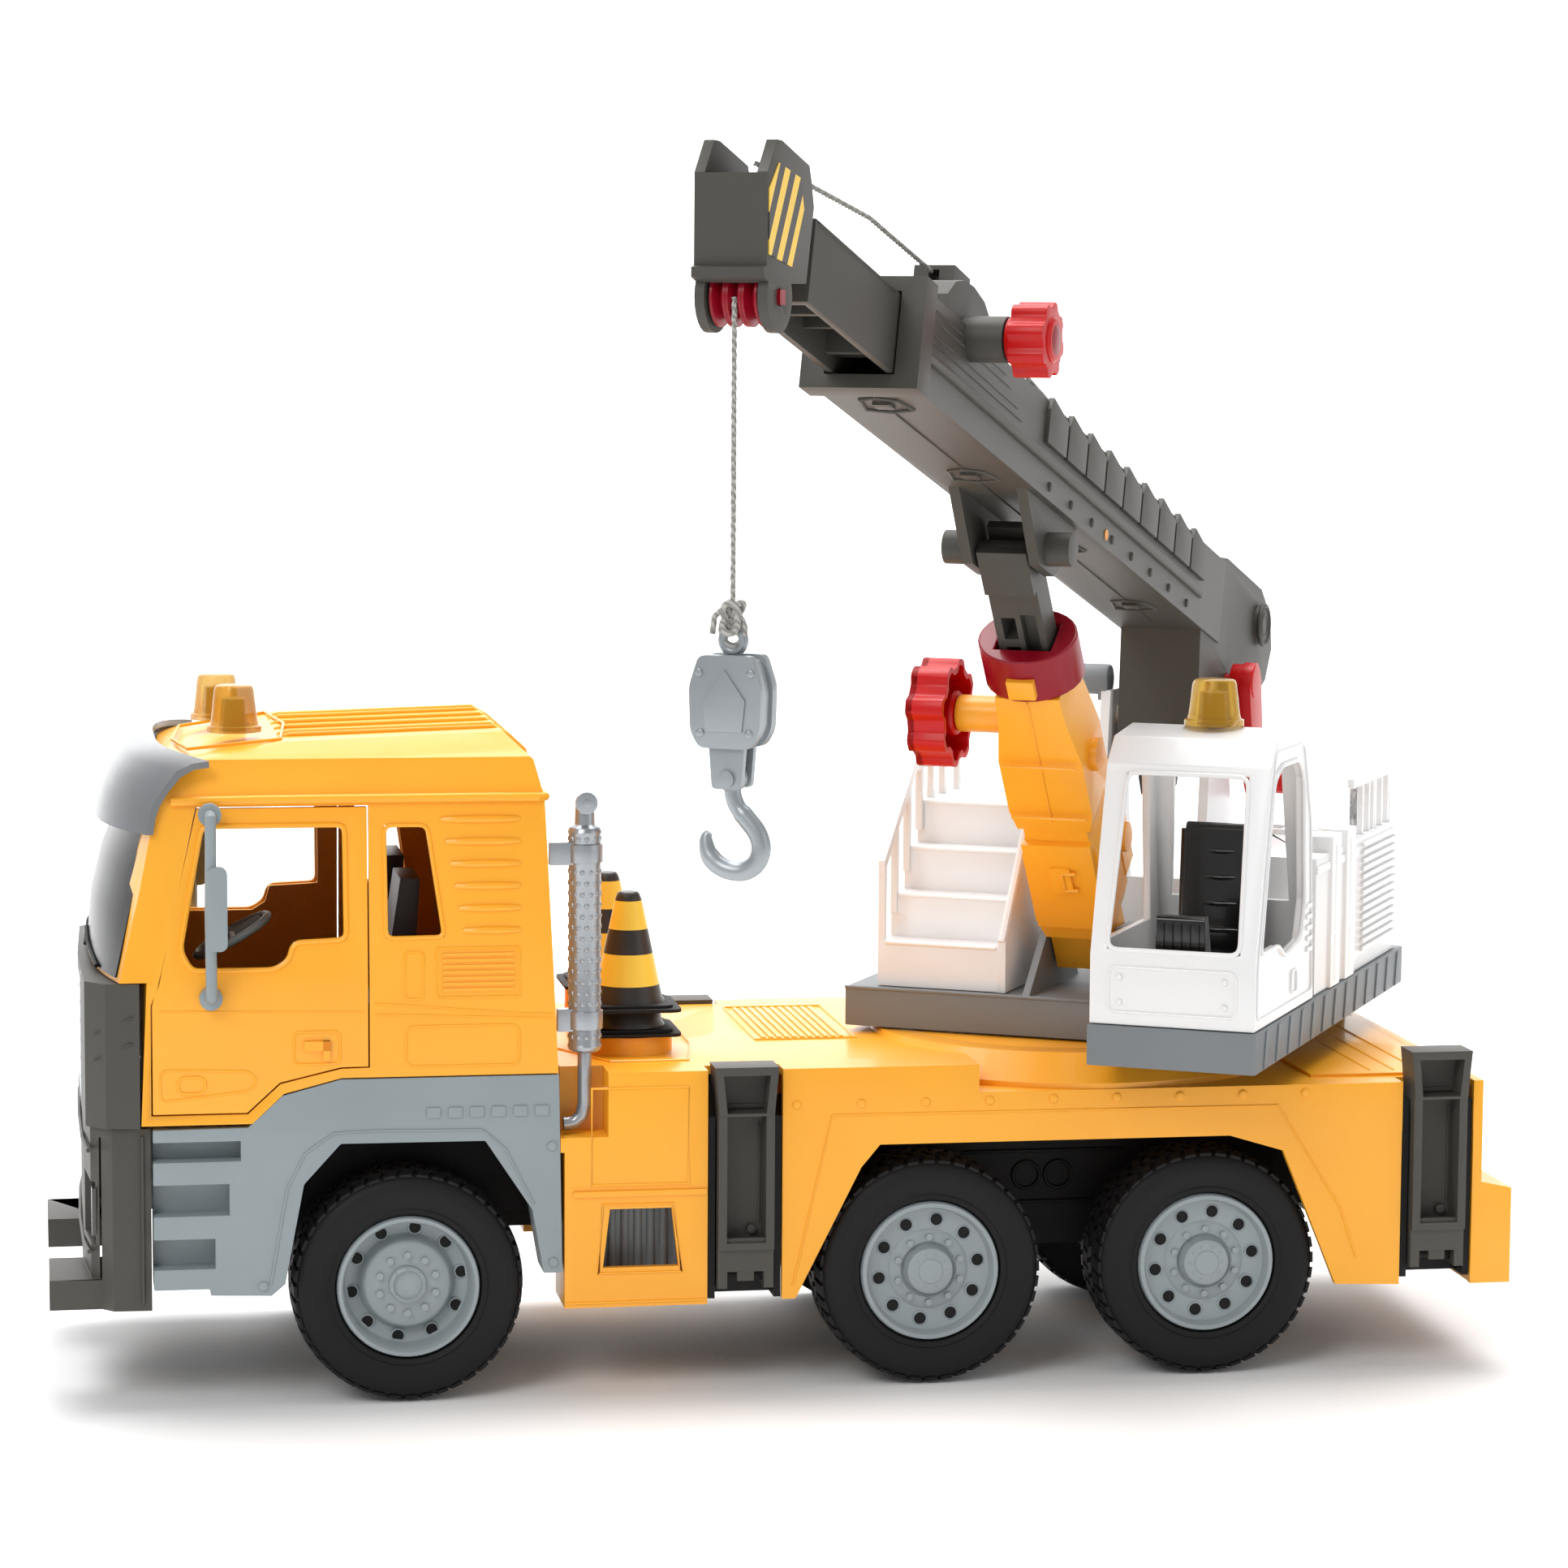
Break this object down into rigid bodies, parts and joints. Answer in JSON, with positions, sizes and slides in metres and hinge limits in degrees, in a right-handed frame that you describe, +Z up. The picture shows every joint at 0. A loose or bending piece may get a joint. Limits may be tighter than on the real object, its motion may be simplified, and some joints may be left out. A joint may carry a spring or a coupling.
{
  "type": "toy crane truck",
  "caption": "Three-axle toy truck with opening cab doors, fold-down outriggers and a slewing, luffing, telescoping crane with a hook on a winch line",
  "frame": {"origin": "centre of the bounding box, on the ground under the tyres", "axes": "-X is the truck's front, -Y its left side, +Z up; the crane is slewed 60 degrees towards the left side"},
  "size_m": [0.533, 0.5218, 0.431],
  "materials": {
    "orange": "satin moulded",
    "grey": "satin moulded",
    "dark_grey": "satin moulded",
    "black": "matt",
    "black_gloss": "gloss",
    "white": "gloss",
    "red": "gloss",
    "crimson": "gloss",
    "amber": "translucent tint",
    "tint": "clear dark",
    "visor": "smoked",
    "silver": "metallised",
    "steel": "cast",
    "tyre": "moulded rubber",
    "cord": "braided",
    "cone": "satin",
    "platform": "satin"
  },
  "bodies": {
    "root": {"chassis_frame": "black", "deck_body": "orange", "cab_shell": "orange", "windshield": "tint", "cab_interior": "black_gloss", "sun_visor": "visor", "beacon_left": "amber", "beacon_right": "amber", "front_panel": "dark_grey", "front_bumper": "dark_grey", "cab_fenders": "grey", "exhaust_stack": "silver"},
    "door_left_body": {"door_left": "orange", "mirror_left": "grey"},
    "door_right_body": {"door_right": "orange", "mirror_right": "grey"},
    "wheels_front": {"axle_front": "steel", "rim_front_left": "grey", "rim_front_right": "grey", "tyre_front_left": "tyre", "tyre_front_right": "tyre"},
    "wheels_middle": {"axle_middle": "steel", "rim_middle_left": "grey", "rim_middle_right": "grey", "tyre_middle_left": "tyre", "tyre_middle_right": "tyre"},
    "wheels_rear": {"axle_rear": "steel", "rim_rear_left": "grey", "rim_rear_right": "grey", "tyre_rear_left": "tyre", "tyre_rear_right": "tyre"},
    "outrigger_front_left": {"outrigger_leg_front_left": "dark_grey"},
    "outrigger_front_right": {"outrigger_leg_front_right": "dark_grey"},
    "outrigger_rear_left": {"outrigger_leg_rear_left": "dark_grey"},
    "outrigger_rear_right": {"outrigger_leg_rear_right": "dark_grey"},
    "superstructure": {"slew_platform": "platform", "boom_pedestal": "white", "crane_cab": "white", "crane_interior": "black_gloss", "crane_beacon": "amber", "stairs": "white", "machinery_house": "white"},
    "boom": {"outer_boom": "dark_grey", "string_rear": "cord"},
    "telescope": {"inner_boom": "dark_grey", "boom_head": "dark_grey", "string_front": "cord"},
    "extension_drive": {"extension_knob": "red"},
    "winch": {"winch_crank": "red"},
    "sheaves": {"head_pulleys": "crimson"},
    "line": {"string_hanging": "cord"},
    "hoist_block": {"hook_block": "steel"},
    "hook_swing": {"hook": "steel"},
    "jack": {"jack_body": "orange", "jack_collar": "crimson"},
    "jack_ram": {"jack_rod": "dark_grey"},
    "jack_wheel": {"jack_handwheel": "red"},
    "cone_a_lower": {"cone_near_lower": "cone"},
    "cone_a_upper": {"cone_near_upper": "cone"},
    "cone_b": {"cone_far": "cone"}
  },
  "joints": [
    {"name": "door_left_hinge", "type": "hinge", "parent": "root", "child": "door_left_body", "pos_m": [-0.23142, 0.00625, 0.14], "axis": [0, 0, -1], "range_deg": [0, 60]},
    {"name": "door_right_hinge", "type": "hinge", "parent": "root", "child": "door_right_body", "pos_m": [-0.23142, 0.16705, 0.14], "axis": [0, 0, 1], "range_deg": [0, 60]},
    {"name": "roll_front", "type": "hinge", "parent": "root", "child": "wheels_front", "pos_m": [-0.14222, 0.08665, 0.041], "axis": [0, 1, 0], "continuous": true},
    {"name": "roll_middle", "type": "hinge", "parent": "root", "child": "wheels_middle", "pos_m": [0.04448, 0.08665, 0.041], "axis": [0, 1, 0], "continuous": true},
    {"name": "roll_rear", "type": "hinge", "parent": "root", "child": "wheels_rear", "pos_m": [0.14638, 0.08665, 0.041], "axis": [0, 1, 0], "continuous": true},
    {"name": "outrigger_front_left_swing", "type": "hinge", "parent": "root", "child": "outrigger_front_left", "pos_m": [-0.02332, 0.01215, 0.042], "axis": [1, 0, 0], "range_deg": [0, 108]},
    {"name": "outrigger_front_right_swing", "type": "hinge", "parent": "root", "child": "outrigger_front_right", "pos_m": [-0.02332, 0.16115, 0.042], "axis": [-1, 0, 0], "range_deg": [0, 108]},
    {"name": "outrigger_rear_left_swing", "type": "hinge", "parent": "root", "child": "outrigger_rear_left", "pos_m": [0.23148, 0.01215, 0.042], "axis": [1, 0, 0], "range_deg": [0, 108]},
    {"name": "outrigger_rear_right_swing", "type": "hinge", "parent": "root", "child": "outrigger_rear_right", "pos_m": [0.23148, 0.16115, 0.042], "axis": [-1, 0, 0], "range_deg": [0, 108]},
    {"name": "slew", "type": "hinge", "parent": "root", "child": "superstructure", "pos_m": [0.12448, 0.08665, 0.118], "axis": [0, 0, 1], "continuous": true},
    {"name": "luff", "type": "hinge", "parent": "superstructure", "child": "boom", "pos_m": [0.16698, 0.16026, 0.226], "axis": [-0.866, 0.5, 0], "range_deg": [-6, 20]},
    {"name": "telescope_slide", "type": "slide", "parent": "boom", "child": "telescope", "axis": [0.4818, 0.8347, -0.2669], "range_m": [0, 0.076]},
    {"name": "extension_turn", "type": "hinge", "parent": "boom", "child": "extension_drive", "pos_m": [0.01516, -0.10268, 0.3735], "axis": [-0.866, 0.5, 0], "range_deg": [-30, 460]},
    {"name": "winch_turn", "type": "hinge", "parent": "boom", "child": "winch", "pos_m": [0.18362, 0.18909, 0.23752], "axis": [-0.866, 0.5, 0], "range_deg": [-10, 590]},
    {"name": "sheave_turn", "type": "hinge", "parent": "telescope", "child": "sheaves", "pos_m": [-0.06602, -0.24331, 0.386], "axis": [-0.866, 0.5, 0], "range_deg": [-10, 430]},
    {"name": "line_level", "type": "hinge", "parent": "telescope", "child": "line", "pos_m": [-0.06602, -0.24331, 0.386], "axis": [-0.866, 0.5, 0], "range_deg": [-22, 8]},
    {"name": "hoist", "type": "slide", "parent": "line", "child": "hoist_block", "axis": [0, 0, 1], "range_m": [0, 0.06], "deforming": ["string_hanging"]},
    {"name": "hook_pin", "type": "hinge", "parent": "hoist_block", "child": "hook_swing", "pos_m": [-0.06937, -0.24911, 0.247], "axis": [0.5, 0.866, 0], "range_deg": [-20, 20]},
    {"name": "jack_swing", "type": "hinge", "parent": "superstructure", "child": "jack", "pos_m": [0.11748, 0.07452, 0.15], "axis": [-0.866, 0.5, 0], "range_deg": [-6, 19]},
    {"name": "ram_slide", "type": "slide", "parent": "jack", "child": "jack_ram", "axis": [-0.2878, -0.4987, 0.8176], "range_m": [-0.0135, 0.0435]},
    {"name": "handwheel_turn", "type": "hinge", "parent": "jack", "child": "jack_wheel", "pos_m": [0.0861, 0.02018, 0.23913], "axis": [-0.866, 0.5, 0], "range_deg": [-130, 420]},
    {"name": "cone_near_lower_lift", "type": "slide", "parent": "root", "child": "cone_a_lower", "axis": [0, 0, 1], "range_m": [0, 0.04]},
    {"name": "cone_near_upper_lift", "type": "slide", "parent": "cone_a_lower", "child": "cone_a_upper", "axis": [0, 0, 1], "range_m": [0, 0.08]},
    {"name": "cone_far_lift", "type": "slide", "parent": "root", "child": "cone_b", "axis": [0, 0, 1], "range_m": [0, 0.08]}
  ],
  "couplings": [
    {"joint": "jack_swing", "follows": "luff", "ratio": 0.9045},
    {"joint": "ram_slide", "follows": "luff", "m_per_rad": 0.12285},
    {"joint": "handwheel_turn", "follows": "luff", "ratio": 20},
    {"joint": "line_level", "follows": "luff", "ratio": -1},
    {"joint": "extension_turn", "follows": "telescope_slide", "rad_per_m": 98},
    {"joint": "winch_turn", "follows": "hoist", "rad_per_m": 160},
    {"joint": "sheave_turn", "follows": "hoist", "rad_per_m": 120}
  ]
}
